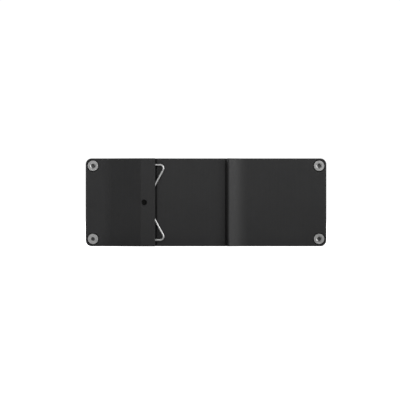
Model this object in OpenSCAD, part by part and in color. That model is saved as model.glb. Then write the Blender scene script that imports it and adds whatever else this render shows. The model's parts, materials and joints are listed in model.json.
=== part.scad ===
// Slim control module that hooks onto a 35 mm top-hat rail.
// X runs along the case, across the rail; -Y is the rail side and +Y the front; Z runs along the rail.
// The case stands on a long side, and the origin is the middle of that side.

/* [Case] */
// Length of the case, across the rail
case_length = 120; // [118:1:150]
// Width of the case, along the rail
case_width = 43.8; // [43.7:0.1:60]
// Radius of the case's four long corners
corner_radius = 3; // [2:0.5:3]
// Thickness of the back plate under the rail
plate_thickness = 5; // [4.8:0.1:7]
// Depth of the housing between its two gaskets
housing_depth = 15.5; // [15.5:0.5:30]
// Thickness of the front cover
cover_thickness = 2.5; // [2.2:0.1:4]
// Thickness of each flat gasket
gasket_thickness = 0.5; // [0.3:0.1:0.8]
// Thickness of the housing's walls
wall = 2.2; // [2:0.1:2.4]

/* [Rail seat] */
// Width of the rail
rail_width = 35; // [35:0.1:35.5]
// How much wider the seat's opening is than the rail
rail_play = 0.85; // [0.6:0.05:1]
// Middle of the seat's opening, measured along X
seat_centre = -7.4; // [-9:0.1:-6]
// Height of the hump that holds the spring, above the seat
hump_height = 4; // [3.8:0.1:5]
// Slope of the hump's outer flank, in degrees
hump_slope = 13.5; // [12:0.5:20]
// Height of the fixed lip above the seat
lip_height = 2.75; // [2.6:0.05:3.2]
// Slope of the lip's outer flank, in degrees
lip_slope = 25.5; // [20:0.5:30]

/* [Spring] */
// Diameter of the spring's wire
wire_diameter = 1.1; // [0.8:0.1:1.1]
// Height of the wire's middle above the seat
wire_height = 1.6; // [1.5:0.05:1.7]
// Radius of the wire's middle line round each loop
loop_radius = 1.75; // [1.6:0.05:2.2]
// How far each loop's centre stands out of the hump
loop_reach = 2.35; // [1.9:0.05:2.4]
// Distance from the case's middle line to each loop's centre
loop_offset = 16.95; // [16:0.05:17.2]
// Angle between the sloping stretches of wire and the Z axis, in degrees
wire_angle = 28.6; // [26:0.1:29]

/* [Fasteners] */
// Distance of the case screws from the case's ends
screw_inset_x = 3.6; // [3.5:0.1:4]
// Distance of the case screws from the case's long sides
screw_inset_z = 3.65; // [3.6:0.05:4]
// Diameter of the rear screws' heads
head_diameter = 5.4; // [5:0.1:5.5]

/* [Front] */
// Width of the border round the front overlay
overlay_border = 9; // [8:0.5:11]
// Thickness of the front overlay
overlay_thickness = 0.25; // [0.2:0.05:0.4]

/* [Terminals] */
// Poles in each terminal plug
poles = 5; // [3:1:5]
// Distance between poles
pitch = 3.5; // [3.5:0.01:3.81]

/* [Hidden] */
$fn = 64;

// Depth levels, from the rail side to the front
case_depth = hump_height + plate_thickness + housing_depth + 2 * gasket_thickness + cover_thickness;
hump_y = -case_depth / 2;
seat_y = hump_y + hump_height;
plate_y = seat_y + plate_thickness;
housing_y = plate_y + gasket_thickness;
housing_end_y = housing_y + housing_depth;
cover_y = housing_end_y + gasket_thickness;
front_y = cover_y + cover_thickness;
middle_z = case_width / 2;
over = 1;

// Rail seat outline, as heights above the seat
hump_end = seat_centre - (rail_width + rail_play) / 2;
hump_land = 7.1;
hump_chamfer = 0.7;
hump_fillet = 21;
hump_top_start = hump_end - hump_land;
hump_fillet_rise = hump_fillet * (1 - cos(hump_slope));
hump_flank_run = (hump_height - hump_fillet_rise) / tan(hump_slope);
hump_foot = hump_top_start - hump_flank_run - hump_fillet * sin(hump_slope);
slot_depth = 6.7;
slot_mouth = 0.9;
shelf_step = 0.6;
shelf_height = wire_height - wire_diameter / 2 - 0.1;
slot_roof = wire_height + wire_diameter / 2 + 0.15;
groove_depth = 1.8;
ramp_run = 3.6;
ramp_radius = 30;
ramp_rise = ramp_radius - sqrt(pow(ramp_radius, 2) - pow(ramp_run, 2));
ramp_chamfer = 0.1;
lip_end = hump_end + rail_width + rail_play;
groove_mouth = 0.9;
groove_reach = 2.2;
lip_underside = 1.5;
lip_chamfer = 0.5;
lip_land = 0.55;
lip_fillet = 17;
lip_top_end = lip_end + lip_chamfer + lip_land;
lip_fillet_rise = lip_fillet * (1 - cos(lip_slope));
lip_foot = lip_top_end + (lip_height - lip_fillet_rise) / tan(lip_slope) + lip_fillet * sin(lip_slope);

// Spring wire, in the plane of its middle line, with heights measured from the case's middle line
wire_r = wire_diameter / 2;
wire_y = seat_y - wire_height;
loop_x = hump_end + loop_reach;
loop_tangent = [loop_x + loop_radius * cos(wire_angle), loop_offset - loop_radius * sin(wire_angle)];
corner_x = loop_tangent[0] - loop_tangent[1] * tan(wire_angle);
centre_bend_r = 1.5;
centre_bend_x = corner_x + centre_bend_r / cos(wire_angle);
arm_pivot = [centre_bend_x - centre_bend_r * cos(wire_angle), centre_bend_r * sin(wire_angle)];
arm_gap = 0.1;
arm_run = (loop_tangent[1] - arm_pivot[1]) / cos(wire_angle) - arm_gap;
leg_length = 5.4;
set_screw_x = corner_x - 0.55;
set_screw_r = 1.25;
set_screw_recess = 1.05;
set_screw_chamfer = 0.3;
set_screw_socket = 1.3;
set_screw_socket_depth = 0.5;
set_screw_turn = 15;
wire_touch = 0.02;

// Fasteners
screw_x = case_length / 2 - screw_inset_x;
screw_z = case_width / 2 - screw_inset_z;
pad_r = 3.6;
m3_r = 1.45;
m3_bore_r = 1.5;
m3_clearance_r = 1.7;
head_height = 3;
head_recess = 0.2;
counterbore_r = head_diameter / 2 + 0.3;
counterbore_depth = head_height + head_recess;
rear_screw_length = 8;
rear_bore_depth = 6.5;
countersink_r = 2.9;
countersink_head = 1.65;
front_screw_length = 7;
front_bore_depth = 6.5;
socket_angles = [12, 40, 25, 52];

// Overlay in the front cover's shallow pocket
pocket_depth = overlay_thickness + 0.05;
pocket_corner = 2;
overlay_y = front_y - pocket_depth;

// Circuit board and what stands on it
standoff = 3;
board_thickness = 1.6;
board_rear_y = plate_y + standoff;
board_y = board_rear_y + board_thickness;
board_half_x = screw_x - pad_r - 0.9;
board_inset_z = 3;
board_screw_x = board_half_x - 5;
board_screw_z = case_width / 2 - 6.5;
board_screw_r = 1.2;
chip_height = 1.5;
chip_size = 10;
chip_xs = [-2, 14];
coil_x = -18;
core_size = [20, 10, 16];
core_leg = 3;
capacitor_x = -34;
capacitor_r = 4;
capacitor_height = 10;
capacitor_pitch = 2 * capacitor_r + 1.6;
led_count = 4;
led_pitch = 7;
led_x = 10;
led_z = middle_z + 12;
pipe_r = 1;
button_x = 34;
button_z = middle_z - 11;
button_r = 1.8;
button_recess = 0.5;
button_fit = 0.05;
stem_r = 1.6;
stem_y = board_y + 4;
switch_size = [6, 4.4, 6];

// Terminals, for the +X end of the case
end_recess = 0.3;
header_length = 10;
header_wall = 0.85;
nose_play = 0.3;
plug_width = poles * pitch + 1.6;
plug_height = 9.6;
plug_y = board_y + 0.4;
plug_x = case_length / 2 - end_recess;
header_x = board_half_x - header_length;
header_width = plug_width + 0.9;
header_height = plug_height + 0.6;
nose_width = header_width - 2 * (header_wall + nose_play);
nose_height = header_height - 2 * (header_wall + nose_play);
nose_y = board_y + header_wall + nose_play;
back_wall = 1.5;
entry_size = 2.6;
entry_y = plug_y + 2.4;
plug_screw_y = plug_y + 7;
plug_screw_r = 1.3;
pin_size = 1;
pin_y = nose_y + nose_height / 2;

// Points along an arc, from angle a0 to a1
function arc_points(centre, r, a0, a1, steps) = [
    for (i = [0 : steps])
        let (a = a0 + (a1 - a0) * i / steps)
            [centre[0] + r * cos(a), centre[1] + r * sin(a)]
];

// Extrudes a shape drawn in X and Z from depth y0 to y1
module along_y(y0, y1) {
    translate([0, y1, 0]) rotate([90, 0, 0]) linear_extrude(height = y1 - y0) children();
}

// Round bar or bore along Y
module rod_y(x, z, y0, y1, r) {
    translate([x, y0, z]) rotate([-90, 0, 0]) cylinder(h = y1 - y0, r = r);
}

// Hexagonal bar or socket along Y, by its width across flats
module hex_y(x, z, y0, y1, across_flats, angle = 0) {
    translate([x, y0, z])
        rotate([-90, 0, 0])
            rotate([0, 0, angle])
                cylinder(h = y1 - y0, r = across_flats / 2 / cos(30), $fn = 6);
}

// Box between two depths, centred on x and z
module block_y(x, z, y0, y1, size_x, size_z) {
    translate([x - size_x / 2, y0, z - size_z / 2]) cube([size_x, y1 - y0, size_z]);
}

// Puts a child at each of the four screw places
module at_corners(x = screw_x, z = screw_z) {
    for (sx = [-1, 1], sz = [-1, 1])
        translate([sx * x, 0, middle_z + sz * z]) children();
}

// Outline of the case in X and Z, drawn in by inset
module case_outline(inset = 0) {
    r = corner_radius - inset;
    half_x = case_length / 2 - inset;
    for (sx = [-1, 1], z = [corner_radius, case_width - corner_radius])
        translate([sx * (half_x - r), z]) circle(r = r);
    translate([-half_x, corner_radius]) square([2 * half_x, case_width - 2 * corner_radius]);
    translate([r - half_x, inset]) square([2 * (half_x - r), case_width - 2 * inset]);
}

// Section of the housing wall with its four corner pads
module wall_section(inset = 0) {
    difference() {
        case_outline(inset);
        difference() {
            translate([wall - case_length / 2, wall]) square([case_length - 2 * wall, case_width - 2 * wall]);
            for (sx = [-1, 1], sz = [-1, 1])
                translate([sx * screw_x, middle_z + sz * screw_z]) circle(r = pad_r);
        }
    }
}

// Rail side of the back plate, as points of x and height above the seat
function seat_outline() = concat(
    [[-case_length / 2, 0]],
    arc_points([hump_foot, hump_fillet], hump_fillet, -90, hump_slope - 90, 10),
    [
        [hump_top_start, hump_height],
        [hump_end - hump_chamfer, hump_height],
        [hump_end, hump_height - hump_chamfer],
        [hump_end, slot_roof],
        [hump_end - slot_depth, slot_roof],
        [hump_end - slot_depth, shelf_height],
        [hump_end - shelf_step, shelf_height],
        [hump_end - shelf_step, -groove_depth],
        [hump_end + slot_mouth, -groove_depth],
        [hump_end + slot_mouth, 0]
    ],
    arc_points([lip_end - groove_mouth - ramp_chamfer - ramp_run, ramp_radius], ramp_radius,
               -90, asin(ramp_run / ramp_radius) - 90, 8),
    [
        [lip_end - groove_mouth, ramp_rise - ramp_chamfer],
        [lip_end - groove_mouth, -groove_depth],
        [lip_end + groove_reach, -groove_depth],
        [lip_end + groove_reach, lip_underside],
        [lip_end, lip_underside],
        [lip_end, lip_height - lip_chamfer],
        [lip_end + lip_chamfer, lip_height],
        [lip_top_end, lip_height]
    ],
    arc_points([lip_foot, lip_fillet], lip_fillet, -90 - lip_slope, -90, 16),
    [[case_length / 2, 0]]
);

module back_plate() {
    color("#1b1b1c")
    difference() {
        intersection() {
            linear_extrude(height = case_width)
                polygon(concat(
                    [[-case_length / 2, plate_y]],
                    [for (p = seat_outline()) [p[0], seat_y - p[1]]],
                    [[case_length / 2, plate_y]]
                ));
            along_y(hump_y - over, plate_y + over) case_outline();
        }
        at_corners() {
            rod_y(0, 0, seat_y - over, seat_y + counterbore_depth, counterbore_r);
            rod_y(0, 0, seat_y, plate_y + over, m3_clearance_r);
        }
        rod_y(set_screw_x, middle_z, hump_y - over, wire_y, set_screw_r + 0.05);
        translate([set_screw_x, hump_y, middle_z])
            rotate([-90, 0, 0])
                cylinder(h = set_screw_chamfer, r1 = set_screw_r + set_screw_chamfer, r2 = set_screw_r);
    }
}

// Middle bend of the spring, pinched under the set screw
module rail_spring_centre() {
    color("#c9cbcc")
    translate([centre_bend_x, wire_y, middle_z])
        rotate([90, 0, 0])
            rotate([0, 0, 180 - wire_angle])
                rotate_extrude(angle = 2 * wire_angle)
                    translate([centre_bend_r, 0]) circle(r = wire_r);
}

// Bead that joins two stretches of wire, with its poles along the wire
module wire_bead(place, angle) {
    translate([place[0], wire_y, middle_z + place[1]])
        rotate([0, angle, 0])
            sphere(r = wire_r + wire_touch);
}

// One arm of the spring above the case's middle line: slope, loop and leg, with a bead at each join
module spring_arm() {
    wire_bead(loop_tangent, wire_angle);
    wire_bead([loop_x, loop_offset + loop_radius], 90);
    translate([loop_x, wire_y, middle_z + loop_offset])
        rotate([90, 0, 0])
            rotate([0, 0, -wire_angle])
                rotate_extrude(angle = 90 + wire_angle)
                    translate([loop_radius, 0]) circle(r = wire_r);
    translate([loop_tangent[0], wire_y, middle_z + loop_tangent[1]])
        rotate([0, wire_angle - 180, 0])
            cylinder(h = arm_run, r = wire_r);
    translate([loop_x - leg_length, wire_y, middle_z + loop_offset + loop_radius])
        rotate([0, 90, 0])
            cylinder(h = leg_length, r = wire_r);
}

module rail_spring_upper() {
    color("#c9cbcc") spring_arm();
}

module rail_spring_lower() {
    color("#c9cbcc") translate([0, 0, case_width]) mirror([0, 0, 1]) spring_arm();
}

module spring_set_screw() {
    tip_y = wire_y - wire_r - wire_touch;
    head_y = hump_y + set_screw_recess;
    color("#2a2a2c")
    difference() {
        rod_y(set_screw_x, middle_z, head_y, tip_y, set_screw_r);
        hex_y(set_screw_x, middle_z, head_y - over, head_y + set_screw_socket_depth,
              set_screw_socket, set_screw_turn);
    }
}

// Socket head cap screw along Y, with its head's top at y = 0
module cap_screw(length, angle) {
    edge = 0.15;
    socket_r = 0.9;
    dish_r = 1.4;
    dish_depth = 0.3;
    socket_depth = 1.6;
    head_r = head_diameter / 2;
    difference() {
        union() {
            rotate([-90, 0, 0])
                rotate_extrude()
                    polygon([
                        [0, 0], [head_r - edge, 0], [head_r, edge],
                        [head_r, head_height], [0, head_height]
                    ]);
            rod_y(0, 0, head_height, head_height + length, m3_r);
        }
        hex_y(0, 0, -over, socket_depth, 2 * socket_r, angle);
        rotate([-90, 0, 0]) cylinder(h = dish_depth, r1 = dish_r, r2 = socket_r);
    }
}

module rear_screws() {
    corners = [for (sx = [-1, 1], sz = [-1, 1]) [sx * screw_x, middle_z + sz * screw_z]];
    color("#9a9b9c")
    for (i = [0 : 3])
        translate([corners[i][0], seat_y + head_recess, corners[i][1]])
            cap_screw(rear_screw_length, socket_angles[i]);
}

module gasket(y) {
    color("#101010")
    difference() {
        along_y(y, y + gasket_thickness) wall_section(0.4);
        at_corners() rod_y(0, 0, y - over, y + gasket_thickness + over, m3_clearance_r);
    }
}

module rear_gasket() {
    gasket(plate_y);
}

module front_gasket() {
    gasket(housing_end_y);
}

module housing() {
    window_y = plug_y - nose_play;
    color("#1b1b1c")
    difference() {
        along_y(housing_y, housing_end_y) wall_section();
        at_corners() {
            rod_y(0, 0, housing_y - over, housing_y + rear_bore_depth, m3_bore_r);
            rod_y(0, 0, housing_end_y - front_bore_depth, housing_end_y + over, m3_bore_r);
        }
        for (sx = [-1, 1])
            block_y(sx * case_length / 2, middle_z, window_y, plug_y + plug_height + nose_play,
                    2 * wall + 2, plug_width + 2 * nose_play);
    }
}

// Outline of the overlay and of its pocket, drawn in by gap
module overlay_outline(gap = 0) {
    half_x = case_length / 2 - overlay_border - gap;
    half_z = case_width / 2 - overlay_border / 2 - gap;
    r = pocket_corner - gap;
    translate([0, middle_z])
        union() {
            for (sx = [-1, 1], sz = [-1, 1])
                translate([sx * (half_x - r), sz * (half_z - r)]) circle(r = r);
            translate([-half_x, r - half_z]) square([2 * half_x, 2 * (half_z - r)]);
            translate([r - half_x, -half_z]) square([2 * (half_x - r), 2 * half_z]);
        }
}

// Puts a child at each indicator light
module at_lights() {
    for (i = [0 : led_count - 1])
        translate([led_x + i * led_pitch, 0, led_z]) children();
}

module front_overlay() {
    color("#3b3c3f")
    difference() {
        along_y(overlay_y, overlay_y + overlay_thickness) overlay_outline(0.1);
        at_lights() rod_y(0, 0, overlay_y - over, front_y + over, pipe_r + 0.1);
        rod_y(button_x, button_z, overlay_y - over, front_y + over, button_r + 0.3);
    }
}

module front_cover() {
    color("#1b1b1c")
    difference() {
        along_y(cover_y, front_y) case_outline();
        along_y(overlay_y, front_y + over) overlay_outline();
        at_corners() {
            rod_y(0, 0, cover_y - over, front_y + over, m3_clearance_r);
            translate([0, front_y - countersink_r + m3_clearance_r, 0])
                rotate([-90, 0, 0])
                    cylinder(h = countersink_r - m3_clearance_r, r1 = m3_clearance_r, r2 = countersink_r);
        }
        at_lights() rod_y(0, 0, cover_y - over, front_y + over, pipe_r + 0.1);
        rod_y(button_x, button_z, cover_y - over, front_y + over, button_r + button_fit);
    }
}

module front_screws() {
    top_r = m3_r + countersink_head - 0.45;
    color("#9a9b9c")
    at_corners()
        translate([0, front_y - 0.1, 0])
            rotate([90, 0, 0])
                difference() {
                    union() {
                        cylinder(h = top_r - m3_r, r1 = top_r, r2 = m3_r);
                        cylinder(h = front_screw_length, r = m3_r);
                    }
                    translate([0, 0, -over]) cylinder(h = over + 1, r = 1 / cos(30), $fn = 6);
                }
}

module circuit_board() {
    color("#1d5a34")
    difference() {
        block_y(0, middle_z, board_rear_y, board_y, 2 * board_half_x, case_width - 2 * board_inset_z);
        at_corners(board_screw_x, board_screw_z)
            rod_y(0, 0, board_rear_y - over, board_y + over, board_screw_r + 0.15);
    }
}

module board_standoffs() {
    color("#c2a55a")
    at_corners(board_screw_x, board_screw_z)
        difference() {
            hex_y(0, 0, plate_y, board_rear_y, 5);
            rod_y(0, 0, plate_y + 0.4, board_rear_y + over, board_screw_r + 0.05);
        }
}

module board_screws() {
    head = 1.6;
    color("#9a9b9c")
    at_corners(board_screw_x, board_screw_z)
        difference() {
            union() {
                rod_y(0, 0, board_y, board_y + head, 2.2);
                rod_y(0, 0, board_y - 4, board_y, board_screw_r);
            }
            block_y(0, 0, board_y + head - 0.8, board_y + head + over, 2.6, 0.6);
            block_y(0, 0, board_y + head - 0.8, board_y + head + over, 0.6, 2.6);
        }
}

module power_chips() {
    color("#202124")
    for (x = chip_xs)
        block_y(x, middle_z, board_rear_y - chip_height, board_rear_y, chip_size, chip_size);
}

module heat_pad() {
    color("#7f8c9a")
    for (x = chip_xs)
        block_y(x, middle_z, plate_y, board_rear_y - chip_height, chip_size + 2, chip_size + 2);
}

module control_chip() {
    color("#202124")
    block_y(led_x + 6, middle_z - 4, board_y, board_y + 1.2, 12, 12);
}

module filter_capacitors() {
    color("#31343c")
    for (i = [-1 : 1])
        rod_y(capacitor_x, middle_z + i * capacitor_pitch, board_y, board_y + capacitor_height, capacitor_r);
}

// Two-window core, with its windows facing Z
module transformer_core() {
    window = (core_size[0] - 4 * core_leg) / 2;
    color("#3a3b3e")
    difference() {
        block_y(coil_x, middle_z, board_y, board_y + core_size[1], core_size[0], core_size[2]);
        for (side = [-1, 1])
            block_y(coil_x + side * (core_leg + window / 2), middle_z, board_y + 2, board_y + core_size[1] - 2,
                    window, core_size[2] + over);
    }
}

// Winding round the core's middle leg
module transformer_coil() {
    window = (core_size[0] - 4 * core_leg) / 2;
    fill = window - 0.4;
    color("#b3702e")
    difference() {
        block_y(coil_x, middle_z, board_y + 2.1, board_y + core_size[1] - 2.1,
                2 * (core_leg + fill), core_size[2] + 2 * fill);
        block_y(coil_x, middle_z, board_y, board_y + core_size[1], 2 * core_leg + 0.1, core_size[2] + 0.1);
    }
}

// Places a terminal part of the +X end at either end of the case
module at_end(side) {
    mirror([side < 0 ? 1 : 0, 0, 0]) translate([0, 0, middle_z]) children();
}

// Puts a child at each pole, along Z
module at_poles() {
    for (i = [0 : poles - 1])
        translate([0, 0, (i - (poles - 1) / 2) * pitch]) children();
}

// Bar along X between two ends, with its section centred on y and z = 0
module bar_x(x0, x1, y, size_y, size_z) {
    translate([x0, y - size_y / 2, -size_z / 2]) cube([x1 - x0, size_y, size_z]);
}

module header(side) {
    color("#23512f")
    at_end(side)
        difference() {
            bar_x(header_x, board_half_x, board_y + header_height / 2, header_height, header_width);
            bar_x(header_x + back_wall, board_half_x + over, pin_y, nose_height + 2 * nose_play,
                  nose_width + 2 * nose_play);
            at_poles() bar_x(header_x - over, header_x + back_wall + over, pin_y, pin_size, pin_size);
        }
}

// Contact pins, held in the header's back wall and bent down behind it into the board's edge
module pins(side) {
    color("#c9b26a")
    at_end(side)
        at_poles() {
            bar_x(header_x - pin_size, header_x + 7, pin_y, pin_size, pin_size);
            translate([header_x - pin_size, board_y, -pin_size / 2])
                cube([pin_size, pin_y - board_y, pin_size]);
        }
}

module plug(side) {
    nose_end = header_x + back_wall + 0.4;
    color("#2f7d46")
    at_end(side)
        difference() {
            union() {
                bar_x(board_half_x + 0.2, plug_x, plug_y + plug_height / 2, plug_height, plug_width);
                bar_x(nose_end, plug_x - over, pin_y, nose_height, nose_width);
            }
            at_poles() {
                bar_x(nose_end - over, nose_end + 6.4, pin_y, 1.6, 1.6);
                bar_x(plug_x - 6, plug_x + over, entry_y, entry_size, entry_size);
                translate([plug_x - 5, plug_screw_y, 0])
                    rotate([0, 90, 0]) cylinder(h = 5 + over, r = plug_screw_r + 0.15);
            }
        }
}

// Wire clamps set back in the plug's square entries
module clamps(side) {
    color("#b9bcc0")
    at_end(side)
        at_poles()
            difference() {
                bar_x(plug_x - 5.8, plug_x - 1.4, entry_y, entry_size - 0.1, entry_size - 0.1);
                bar_x(plug_x - 4.8, plug_x, entry_y, entry_size - 0.8, entry_size - 0.8);
            }
}

module plug_screws(side) {
    top_x = plug_x - 0.7;
    color("#b9bcc0")
    at_end(side)
        at_poles()
            difference() {
                translate([top_x - 4, plug_screw_y, 0]) rotate([0, 90, 0]) cylinder(h = 4, r = plug_screw_r);
                bar_x(top_x - 0.7, top_x + over, plug_screw_y, 0.5, 3);
            }
}

module power_header() {
    header(-1);
}

module power_pins() {
    pins(-1);
}

module power_plug() {
    plug(-1);
}

module power_clamps() {
    clamps(-1);
}

module power_plug_screws() {
    plug_screws(-1);
}

module signal_header() {
    header(1);
}

module signal_pins() {
    pins(1);
}

module signal_plug() {
    plug(1);
}

module signal_clamps() {
    clamps(1);
}

module signal_plug_screws() {
    plug_screws(1);
}

// Four clear rods on one bar, which lies against the inside of the cover
module light_pipe() {
    bar_length = (led_count - 1) * led_pitch + 5;
    color("#dfe6ea")
    union() {
        at_lights() rod_y(0, 0, board_y + 1.2, front_y - 0.1, pipe_r);
        block_y(led_x + (led_count - 1) * led_pitch / 2, led_z, cover_y - 1.6, cover_y, bar_length, 4);
    }
}

module status_leds() {
    color("#e8e4c8")
    at_lights() block_y(0, 0, board_y, board_y + 0.8, 1.6, 1.2);
}

module reset_switch() {
    color("#202124")
    difference() {
        block_y(button_x, button_z, board_y, board_y + switch_size[1], switch_size[0], switch_size[2]);
        rod_y(button_x, button_z, board_y + 2.6, board_y + switch_size[1] + over, stem_r + 0.1);
    }
}

module reset_button() {
    collar_y = cover_y - 0.1;
    color("#2a2a2c")
    union() {
        rod_y(button_x, button_z, collar_y, front_y - button_recess, button_r);
        rod_y(button_x, button_z, collar_y - 0.8, collar_y, 2.8);
        rod_y(button_x, button_z, stem_y, collar_y, stem_r);
    }
}

back_plate();
rail_spring_centre();
rail_spring_upper();
rail_spring_lower();
spring_set_screw();
rear_screws();
rear_gasket();
housing();
front_gasket();
front_cover();
front_screws();
front_overlay();
circuit_board();
board_standoffs();
board_screws();
power_chips();
heat_pad();
control_chip();
filter_capacitors();
transformer_core();
transformer_coil();
power_header();
power_pins();
power_plug();
power_clamps();
power_plug_screws();
signal_header();
signal_pins();
signal_plug();
signal_clamps();
signal_plug_screws();
light_pipe();
status_leds();
reset_switch();
reset_button();
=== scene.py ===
"""Looks of the slim rail module: materials, the bent spring wire, the stage, lights and camera."""
import json
import math

import bmesh
import bpy
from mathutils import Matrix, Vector


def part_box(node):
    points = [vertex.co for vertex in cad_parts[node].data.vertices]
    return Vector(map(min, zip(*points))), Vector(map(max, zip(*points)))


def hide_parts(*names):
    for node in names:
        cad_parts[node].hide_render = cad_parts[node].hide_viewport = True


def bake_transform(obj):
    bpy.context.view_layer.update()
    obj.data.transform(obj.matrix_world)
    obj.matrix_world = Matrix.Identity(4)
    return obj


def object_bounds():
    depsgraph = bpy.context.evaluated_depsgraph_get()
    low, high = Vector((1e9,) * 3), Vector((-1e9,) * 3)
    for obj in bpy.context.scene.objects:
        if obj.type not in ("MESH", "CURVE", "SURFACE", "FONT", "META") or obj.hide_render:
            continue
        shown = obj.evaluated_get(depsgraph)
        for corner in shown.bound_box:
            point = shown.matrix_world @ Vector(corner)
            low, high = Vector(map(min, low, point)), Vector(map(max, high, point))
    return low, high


MM = 0.001

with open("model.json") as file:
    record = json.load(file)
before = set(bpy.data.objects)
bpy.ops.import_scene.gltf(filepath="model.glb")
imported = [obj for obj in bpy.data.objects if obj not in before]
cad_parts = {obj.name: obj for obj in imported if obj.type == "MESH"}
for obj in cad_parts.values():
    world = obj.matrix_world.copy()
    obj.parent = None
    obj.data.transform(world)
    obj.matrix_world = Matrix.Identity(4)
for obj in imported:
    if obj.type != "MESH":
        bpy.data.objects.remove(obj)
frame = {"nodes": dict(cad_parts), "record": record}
cad_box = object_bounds()

# Places that the frame gives
CASE_LOW, CASE_HIGH = cad_box
MIDDLE_Z = (CASE_LOW.z + CASE_HIGH.z) / 2
SCREWS_LOW, SCREWS_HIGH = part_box("rear_screws")
FRONT_HEADS_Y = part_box("front_screws")[1].y
SCREW_HEAD_RADIUS = 2.7 * MM
HEAD_RECESS = 0.2 * MM
SEAT_Y = SCREWS_LOW.y - HEAD_RECESS

# The spring wire. BEAD_EXTRA is how far the CAD wire's joints stand out past the wire. TIP_ROUNDING is a
# share of the wire's radius.
WIRE_ANGLE = math.radians(28.6)
LOOP_RADIUS = 1.75 * MM
CENTRE_BEND_RADIUS = 1.5 * MM
BEAD_EXTRA = 0.02 * MM
TIP_ROUNDING = 0.3
WIRE_DEPTH = Vector((0.0, 1.0, 0.0))

# How bright the room and the floor look to the camera, and how much light each one gives
ROOM_SEEN = 1.05
ROOM_LIGHT = 0.06
FLOOR_SEEN = 1.05
FLOOR_LIGHT = 0.06
FLOOR_HALF = 6.0

# Box lights: name, place, width and height in metres, and power in watts. right_box and top_box are for
# the rail side. cover_box and left_box stand behind it, for the sides that face away from the camera.
BOX_LIGHTS = (
    ("right_box", (0.95, -0.75, 0.35), 0.7, 0.9, 10.6),
    ("cover_box", (-0.50, 0.80, 0.45), 0.6, 0.6, 6.0),
    ("left_box", (-0.85, 0.40, 0.35), 0.5, 0.5, 6.0),
    ("top_box", (-0.045, -0.35, 0.18), 0.40, 0.10, 0.37),
)

# The camera. Its sensor and lens are in millimetres, as Blender has them.
CAMERA_SENSOR = 36.0
CAMERA_LENS = 180.5
CAMERA_DISTANCE = 1.0
CAMERA_ASIDE = -3.0 * MM
CAMERA_ABOVE = 1.16 * MM


# ---------------------------------------------------------------- materials

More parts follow.
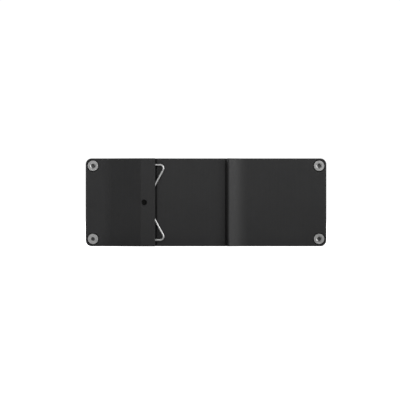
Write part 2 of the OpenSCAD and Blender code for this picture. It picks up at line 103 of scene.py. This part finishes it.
class Look:
    """A node material for one slot, with short calls for the nodes that the looks share."""

    def __init__(self, slot):
        self.material = bpy.data.materials.new("look_" + slot)
        self.material.use_nodes = True
        self.tree = self.material.node_tree
        self.shader = self.tree.nodes["Principled BSDF"]
        self.place = self.node("ShaderNodeTexCoord").outputs["Object"]

    def node(self, kind, **settings):
        """A new node of this kind, with its own properties set."""
        made = self.tree.nodes.new(kind)
        for name, value in settings.items():
            setattr(made, name, value)
        return made

    def join(self, source, socket):
        """Links one node's output to another's input."""
        self.tree.links.new(source, socket)

    def set(self, **values):
        """Constants on the shader's own sockets, named with underscores for spaces."""
        for name, value in values.items():
            self.shader.inputs[name.replace("_", " ")].default_value = value

    def stretched(self, scale):
        """The place on the object, scaled by its own factor along each axis."""
        mapping = self.node("ShaderNodeMapping")
        mapping.inputs["Scale"].default_value = scale
        self.join(self.place, mapping.inputs["Vector"])
        return mapping.outputs["Vector"]

    def noise(self, size, detail=3.0, vector=None):
        """Noise from 0 to 1 whose features are about size metres across."""
        texture = self.node("ShaderNodeTexNoise")
        texture.inputs["Scale"].default_value = 1 / size
        texture.inputs["Detail"].default_value = detail
        self.join(self.place if vector is None else vector, texture.inputs["Vector"])
        return texture.outputs["Fac"]

    def math(self, operation, a, b=0.0):
        """The result of a math node, whose inputs are numbers or other nodes' outputs."""
        made = self.node("ShaderNodeMath", operation=operation)
        for socket, value in zip(made.inputs, (a, b)):
            if isinstance(value, (int, float)):
                socket.default_value = value
            else:
                self.join(value, socket)
        return made.outputs[0]

    def spread(self, factor, low, high, start=0.3, end=0.7):
        """A value that goes from low to high as factor goes from start to end."""
        made = self.node("ShaderNodeMapRange")
        limits = {"From Min": start, "From Max": end, "To Min": low, "To Max": high}
        for name, value in limits.items():
            made.inputs[name].default_value = value
        self.join(factor, made.inputs["Value"])
        return made.outputs["Result"]

    def mix(self, factor, low, high):
        """A colour between low and high, which are colours or other nodes' outputs."""
        made = self.node("ShaderNodeMix", data_type="RGBA")
        self.join(factor, made.inputs["Factor"])
        for socket, colour in ((made.inputs["A"], low), (made.inputs["B"], high)):
            if isinstance(colour, tuple):
                socket.default_value = (*colour, 1.0)
            else:
                self.join(colour, socket)
        return made.outputs["Result"]

    def colour(self, source):
        """Drives the base colour."""
        self.join(source, self.shader.inputs["Base Color"])

    def roughness(self, source):
        """Drives the roughness."""
        self.join(source, self.shader.inputs["Roughness"])

    def bump(self, height, depth, strength=1.0):
        """Relief of the given depth in metres where height goes from 0 to 1."""
        made = self.node("ShaderNodeBump")
        made.inputs["Distance"].default_value = depth
        made.inputs["Strength"].default_value = strength
        self.join(height, made.inputs["Height"])
        self.join(made.outputs["Normal"], self.shader.inputs["Normal"])

    def edges(self, radius):
        """About 0 on open faces, rising towards 1 within radius of a sharp edge."""
        bevel = self.node("ShaderNodeBevel", samples=4)
        bevel.inputs["Radius"].default_value = radius
        geometry = self.node("ShaderNodeNewGeometry")
        dot = self.node("ShaderNodeVectorMath", operation="DOT_PRODUCT")
        self.join(bevel.outputs["Normal"], dot.inputs[0])
        self.join(geometry.outputs["Normal"], dot.inputs[1])
        return self.spread(dot.outputs["Value"], 1.0, 0.0, 0.75, 0.99)

    def rings(self, low, high, radius, pitch):
        """Turned rings round the four screws whose heads fill the box from low to high."""
        centre = (low + high) / 2
        spacing_x = (high.x - low.x) / 2 - radius
        spacing_z = (high.z - low.z) / 2 - radius
        parts = self.node("ShaderNodeSeparateXYZ")
        self.join(self.place, parts.inputs[0])
        squares = []
        for axis, middle, spacing in (("X", centre.x, spacing_x), ("Z", centre.z, spacing_z)):
            side = self.math("ABSOLUTE", self.math("SUBTRACT", parts.outputs[axis], middle))
            squares.append(self.math("POWER", self.math("SUBTRACT", side, spacing), 2.0))
        distance = self.math("SQRT", self.math("ADD", *squares))
        wave = self.math("SINE", self.math("MULTIPLY", distance, 2 * math.pi / pitch))
        return self.spread(wave, 0.0, 1.0, -1.0, 1.0)


def anodised():
    """Black anodised aluminium: fine blasted grain, faint extrusion lines, paler rubbed edges."""
    look = Look("black_anodised")
    look.set(Metallic=0.0, IOR=1.45, Specular_IOR_Level=0.42)
    cloud = look.spread(look.noise(14 * MM), 0.0, 1.0)
    along_rail = look.stretched((1.0, 1.0, 0.015))
    lines = look.noise(0.35 * MM, detail=2.0, vector=along_rail)
    tone = look.mix(cloud, (0.0125, 0.0125, 0.0130), (0.0155, 0.0155, 0.0160))
    lined = look.mix(look.spread(lines, 0.0, 0.35), tone, (0.0195, 0.0195, 0.0200))
    rub = look.math("MULTIPLY", look.edges(0.12 * MM), look.spread(look.noise(2.5 * MM), 0.0, 0.55))
    look.colour(look.mix(rub, lined, (0.050, 0.050, 0.052)))
    look.roughness(look.spread(look.noise(1.2 * MM), 0.46, 0.54))
    look.bump(look.noise(0.09 * MM, detail=2.0), 0.006 * MM, strength=0.6)
    return look


def spring_wire():
    """Bright drawn wire, with fine draw lines along it."""
    look = Look("spring_wire")
    look.set(Metallic=1.0)
    uv = look.node("ShaderNodeUVMap", uv_map="along_wire").outputs["UV"]
    mapping = look.node("ShaderNodeMapping")
    mapping.inputs["Scale"].default_value = (0.15, 6.0, 1.0)
    look.join(uv, mapping.inputs["Vector"])
    lines = look.noise(0.1, detail=4.0, vector=mapping.outputs["Vector"])
    look.colour(look.mix(look.spread(lines, 0.0, 1.0), (0.50, 0.50, 0.50), (0.60, 0.60, 0.595)))
    look.roughness(look.spread(look.noise(1.5 * MM), 0.38, 0.48))
    look.bump(lines, 0.004 * MM, strength=0.5)
    return look


def screw_steel():
    """Stainless screws with turned rings on their heads, and painted shade that darkens their sockets."""
    look = Look("screw_steel")
    look.set(Metallic=1.0)
    rings = look.rings(SCREWS_LOW, SCREWS_HIGH, SCREW_HEAD_RADIUS, pitch=0.16 * MM)
    stain = look.noise(1.1 * MM)
    bright = look.mix(look.spread(stain, 0.0, 1.0), (0.37, 0.37, 0.37), (0.46, 0.46, 0.455))
    parts = look.node("ShaderNodeSeparateXYZ")
    look.join(look.place, parts.inputs[0])
    rear_depth = look.math("SUBTRACT", parts.outputs["Y"], SCREWS_LOW.y)
    front_depth = look.math("SUBTRACT", FRONT_HEADS_Y, parts.outputs["Y"])
    depth = look.math("MINIMUM", rear_depth, front_depth)
    # Painted shade: the colour darkens with depth below the heads, standing in for the shade down in the hex
    # sockets.
    painted_socket_shade = look.spread(depth, 0.0, 1.0, start=0.3 * MM, end=0.8 * MM)
    look.colour(look.mix(painted_socket_shade, bright, (0.12, 0.12, 0.12)))
    look.roughness(look.spread(stain, 0.42, 0.52))
    look.bump(rings, 0.004 * MM, strength=0.5)
    return look


def grained(slot, low, high, roughness, grain, depth, specular=0.5):
    """A material with two close tones in soft patches and a fine grain in relief.

    grain is the size of the grain and depth its relief, both in millimetres."""
    look = Look(slot)
    look.set(Specular_IOR_Level=specular)
    patches = look.noise(3 * MM)
    look.colour(look.mix(look.spread(patches, 0.0, 1.0), low, high))
    look.roughness(look.spread(patches, roughness - 0.04, roughness + 0.04))
    look.bump(look.noise(grain * MM, detail=2.0), depth * MM, strength=0.6)
    return look


def brushed(slot, low, high, roughness, direction):
    """Metal with fine lines, drawn out along each axis that has a small factor in direction."""
    look = Look(slot)
    look.set(Metallic=1.0)
    lines = look.noise(0.12 * MM, vector=look.stretched(direction))
    look.colour(look.mix(look.spread(lines, 0.0, 1.0), low, high))
    look.roughness(look.spread(lines, roughness - 0.05, roughness + 0.05))
    look.bump(lines, 0.003 * MM, strength=0.5)
    return look


def board_laminate():
    """Green solder mask with paler copper tracks under it, on a grid of straight runs."""
    look = Look("board_laminate")
    bricks = look.node("ShaderNodeTexBrick", offset=0.35, squash=0.6)
    bricks.inputs["Scale"].default_value = 1 / (6 * MM)
    bricks.inputs["Mortar Size"].default_value = 0.03
    turned = look.node("ShaderNodeMapping")
    turned.inputs["Rotation"].default_value = (math.radians(90), 0.0, 0.0)
    look.join(look.place, turned.inputs["Vector"])
    look.join(turned.outputs["Vector"], bricks.inputs["Vector"])
    look.colour(look.mix(bricks.outputs["Fac"], (0.010, 0.090, 0.035), (0.030, 0.190, 0.080)))
    look.roughness(look.spread(look.noise(2 * MM), 0.30, 0.40))
    look.bump(bricks.outputs["Fac"], 0.03 * MM, strength=0.6)
    return look


def clear_lens():
    """Clear moulded light guide, slightly milky."""
    look = Look("clear_lens")
    look.set(Transmission_Weight=0.75, IOR=1.49)
    cloud = look.noise(1.5 * MM)
    look.colour(look.mix(look.spread(cloud, 0.0, 1.0), (0.74, 0.78, 0.80), (0.84, 0.87, 0.88)))
    look.roughness(look.spread(cloud, 0.12, 0.20))
    look.bump(look.noise(0.3 * MM), 0.003 * MM, strength=0.4)
    return look


# Grained materials: slot, darker and paler tone, roughness, size of the grain and its relief in millimetres,
# and the specular level where it isn't the usual one
GRAINED = (
    ("overlay_film", (0.040, 0.040, 0.043), (0.048, 0.048, 0.051), 0.36, 0.10, 0.006),
    ("gasket_rubber", (0.010, 0.010, 0.010), (0.016, 0.016, 0.016), 0.78, 0.15, 0.01),
    ("chip_moulding", (0.018, 0.018, 0.019), (0.026, 0.026, 0.027), 0.58, 0.08, 0.008),
    ("heat_pad_silicone", (0.26, 0.30, 0.36), (0.32, 0.36, 0.42), 0.70, 0.20, 0.01),
    ("capacitor_sleeve", (0.018, 0.020, 0.030), (0.028, 0.030, 0.042), 0.28, 0.5, 0.006),
    ("ferrite", (0.035, 0.035, 0.038), (0.055, 0.055, 0.058), 0.62, 0.25, 0.015),
    ("header_plastic", (0.014, 0.014, 0.015), (0.020, 0.020, 0.021), 0.52, 0.12, 0.008),
    ("plug_plastic", (0.020, 0.150, 0.050), (0.028, 0.190, 0.066), 0.50, 0.12, 0.008),
    ("button_plastic", (0.022, 0.022, 0.023), (0.030, 0.030, 0.031), 0.50, 0.12, 0.008),
    ("led_resin", (0.74, 0.72, 0.56), (0.82, 0.80, 0.64), 0.30, 0.3, 0.004),
    ("black_oxide_steel", (0.006, 0.006, 0.006), (0.010, 0.010, 0.010), 0.55, 0.1, 0.006, 0.08),
)

# Brushed metals: slot, darker and paler tone, roughness, and the factors that draw the lines out
BRUSHED = (
    ("brass_spacer", (0.55, 0.40, 0.16), (0.68, 0.52, 0.24), 0.32, (1.0, 0.05, 1.0)),
    ("copper_winding", (0.40, 0.16, 0.05), (0.62, 0.28, 0.10), 0.38, (0.05, 1.0, 0.05)),
    ("tinned_contact", (0.52, 0.52, 0.50), (0.66, 0.66, 0.63), 0.30, (0.05, 1.0, 1.0)),
    ("terminal_screw_steel", (0.42, 0.42, 0.40), (0.56, 0.56, 0.54), 0.34, (0.05, 1.0, 1.0)),
)


def make_looks():
    """The finished material of every material slot of the record, by slot."""
    made = [anodised(), spring_wire(), screw_steel(), board_laminate(), clear_lens()]
    made += [grained(*row) for row in GRAINED]
    made += [brushed(*row) for row in BRUSHED]
    return {look.material.name.removeprefix("look_"): look.material for look in made}


def dress_nodes(looks):
    """Gives every CAD node the look of its slot."""
    slots = {part["node"]: part["material_slot"] for part in frame["record"]["subparts"]}
    for name, node in frame["nodes"].items():
        for place in node.material_slots:
            place.material = looks[slots[name]]


# ---------------------------------------------------------------- spring wire

def arc(centre, radius, start, end, steps):
    """Points on a circle about centre, from the angle start to the angle end."""
    points = []
    for i in range(steps + 1):
        angle = start + (end - start) * i / steps
        points.append((centre[0] + radius * math.cos(angle), centre[1] + radius * math.sin(angle)))
    return points


def between(start, end, steps):
    """The points that divide the stretch from start to end into steps, without its two ends."""
    points = []
    for i in range(1, steps):
        share = i / steps
        x = start[0] + (end[0] - start[0]) * share
        z = start[1] + (end[1] - start[1]) * share
        points.append((x, z))
    return points


def wire_route(side):
    """One half of the wire's middle line, from the centre bend to the end of the leg, and its radius.

    side is 1 for the upper half and -1 for the lower one, which mirrors it."""
    low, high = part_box("rail_spring_upper")
    centre_low, centre_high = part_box("rail_spring_centre")
    radius = (centre_high.y - centre_low.y) / 2
    bend_x = centre_low.x + radius + CENTRE_BEND_RADIUS
    loop_x = high.x - radius - LOOP_RADIUS
    loop_z = high.z - BEAD_EXTRA - radius - LOOP_RADIUS - MIDDLE_Z
    bend = arc((bend_x, 0.0), CENTRE_BEND_RADIUS, math.pi, math.pi - WIRE_ANGLE, steps=10)
    loop = arc((loop_x, loop_z), LOOP_RADIUS, -WIRE_ANGLE, math.pi / 2, steps=40)
    leg_end = (low.x, loop[-1][1])
    leg = between((loop_x, loop[-1][1]), leg_end, steps=14) + [leg_end]
    points = bend + between(bend[-1], loop[0], steps=48) + loop + leg
    wire_y = (centre_low.y + centre_high.y) / 2
    return [Vector((x, wire_y, MIDDLE_Z + side * z)) for x, z in points], radius


def wire_stations(route, radius):
    """Where the wire's rings go: middle, direction across, radius and length travelled.

    The last ones draw in, so that the far end is rounded off."""
    stations = []
    travelled = 0.0
    for i, point in enumerate(route):
        ahead = route[min(i + 1, len(route) - 1)] - route[max(i - 1, 0)]
        across = ahead.normalized().cross(WIRE_DEPTH)
        if i:
            travelled += (point - route[i - 1]).length
        stations.append((point, across, radius, travelled))
    tip, across = stations[-1][:2]
    forward = (route[-1] - route[-2]).normalized()
    cap = TIP_ROUNDING * radius
    stations[-1] = (tip - forward * cap, across, radius, travelled - cap)
    for angle in (math.radians(45), math.radians(80)):
        middle = tip - forward * cap * (1 - math.sin(angle))
        size = radius - cap * (1 - math.cos(angle))
        stations.append((middle, across, size, travelled))
    return stations


def swept_wire(name, route, radius, sides=20):
    """A round bar along a flat route, with a UV map of length and turn."""
    mesh = bmesh.new()
    uv = mesh.loops.layers.uv.new("along_wire")
    stations = wire_stations(route, radius)
    rings = []
    for point, across, size, _ in stations:
        ring = []
        for j in range(sides):
            turn = 2 * math.pi * j / sides
            outward = across * math.cos(turn) + WIRE_DEPTH * math.sin(turn)
            ring.append(mesh.verts.new(point + outward * size))
        rings.append(ring)
    for i in range(len(rings) - 1):
        near, far = rings[i], rings[i + 1]
        near_length, far_length = stations[i][3], stations[i + 1][3]
        for j in range(sides):
            following = (j + 1) % sides
            face = mesh.faces.new((near[j], near[following], far[following], far[j]))
            face.smooth = True
            lengths = (near_length, near_length, far_length, far_length)
            turns = (j, j + 1, j + 1, j)
            for loop, length, turn in zip(face.loops, lengths, turns):
                loop[uv].uv = (length / MM, turn / sides)
    mesh.faces.new(list(reversed(rings[0])))
    mesh.faces.new(rings[-1])
    bmesh.ops.recalc_face_normals(mesh, faces=mesh.faces)
    data = bpy.data.meshes.new(name)
    mesh.to_mesh(data)
    mesh.free()
    wire = bpy.data.objects.new(name, data)
    bpy.context.scene.collection.objects.link(wire)
    return wire


def make_spring(looks):
    """The bent wire in two halves, which bend smoothly from the pinched middle out to each loop."""
    upper_nodes = ("rail_spring_upper", "rail_spring_centre")
    lower_nodes = ("rail_spring_lower",)
    halves = (
        ("rail_wire_upper", 1, "upper_spring_arm", "upper_loop_flex", upper_nodes),
        ("rail_wire_lower", -1, "lower_spring_arm", "lower_loop_flex", lower_nodes),
    )
    for name, side, arm, joint, nodes in halves:
        route, radius = wire_route(side)
        wire = swept_wire(name, route, radius)
        wire.data.materials.append(looks["spring_wire"])
        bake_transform(wire)
        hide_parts(*nodes)


# ---------------------------------------------------------------- stage, lights and camera

def make_floor():
    """A plain pale floor under the case."""
    low, high = -FLOOR_HALF, FLOOR_HALF
    corners = [(low, low, 0.0), (high, low, 0.0), (high, high, 0.0), (low, high, 0.0)]
    data = bpy.data.meshes.new("floor")
    data.from_pydata(corners, [], [(0, 1, 2, 3)])
    floor = bpy.data.objects.new("floor", data)
    bpy.context.scene.collection.objects.link(floor)
    look = Look("floor")
    grain = look.noise(3 * MM)
    look.colour(look.mix(look.spread(grain, 0.0, 1.0), (0.86, 0.86, 0.86), (0.88, 0.88, 0.88)))
    look.roughness(look.spread(grain, 0.7, 0.8))
    look.set(Emission_Color=(1.0, 1.0, 1.0, 1.0))
    seen = look.node("ShaderNodeLightPath").outputs["Is Camera Ray"]
    glow = look.spread(seen, FLOOR_LIGHT, FLOOR_SEEN, start=0.0, end=1.0)
    look.join(glow, look.shader.inputs["Emission Strength"])
    data.materials.append(look.material)


def make_world():
    """A room that is full white to the camera and gives only a little light."""
    world = bpy.data.worlds.new("room")
    bpy.context.scene.world = world
    world.use_nodes = True
    tree = world.node_tree
    background = tree.nodes["Background"]
    background.inputs["Color"].default_value = (1.0, 1.0, 1.0, 1.0)
    seen = tree.nodes.new("ShaderNodeLightPath")
    strength = tree.nodes.new("ShaderNodeMapRange")
    strength.inputs["To Min"].default_value = ROOM_LIGHT
    strength.inputs["To Max"].default_value = ROOM_SEEN
    tree.links.new(seen.outputs["Is Camera Ray"], strength.inputs["Value"])
    tree.links.new(strength.outputs["Result"], background.inputs["Strength"])


def make_box_light(name, place, width, height, power):
    """A rectangular area light at place that faces the middle of the case."""
    data = bpy.data.lights.new(name, "AREA")
    data.shape = "RECTANGLE"
    data.size = width
    data.size_y = height
    data.energy = power
    light = bpy.data.objects.new(name, data)
    bpy.context.scene.collection.objects.link(light)
    facing = Vector((0.0, SEAT_Y, MIDDLE_Z)) - Vector(place)
    light.location = place
    light.rotation_euler = facing.to_track_quat("-Z", "Y").to_euler()


def make_camera():
    """A camera that faces the rail side squarely, slightly off the middle."""
    data = bpy.data.cameras.new("camera")
    data.sensor_width = CAMERA_SENSOR
    data.lens = CAMERA_LENS
    camera = bpy.data.objects.new("camera", data)
    bpy.context.scene.collection.objects.link(camera)
    camera.location = (CAMERA_ASIDE, SEAT_Y - CAMERA_DISTANCE, MIDDLE_Z + CAMERA_ABOVE)
    camera.rotation_euler = (math.radians(90), 0.0, 0.0)
    bpy.context.scene.camera = camera


bpy.context.scene.view_settings.view_transform = "Standard"
looks = make_looks()
dress_nodes(looks)
make_spring(looks)
make_floor()
make_world()
for box_light in BOX_LIGHTS:
    make_box_light(*box_light)
make_camera()
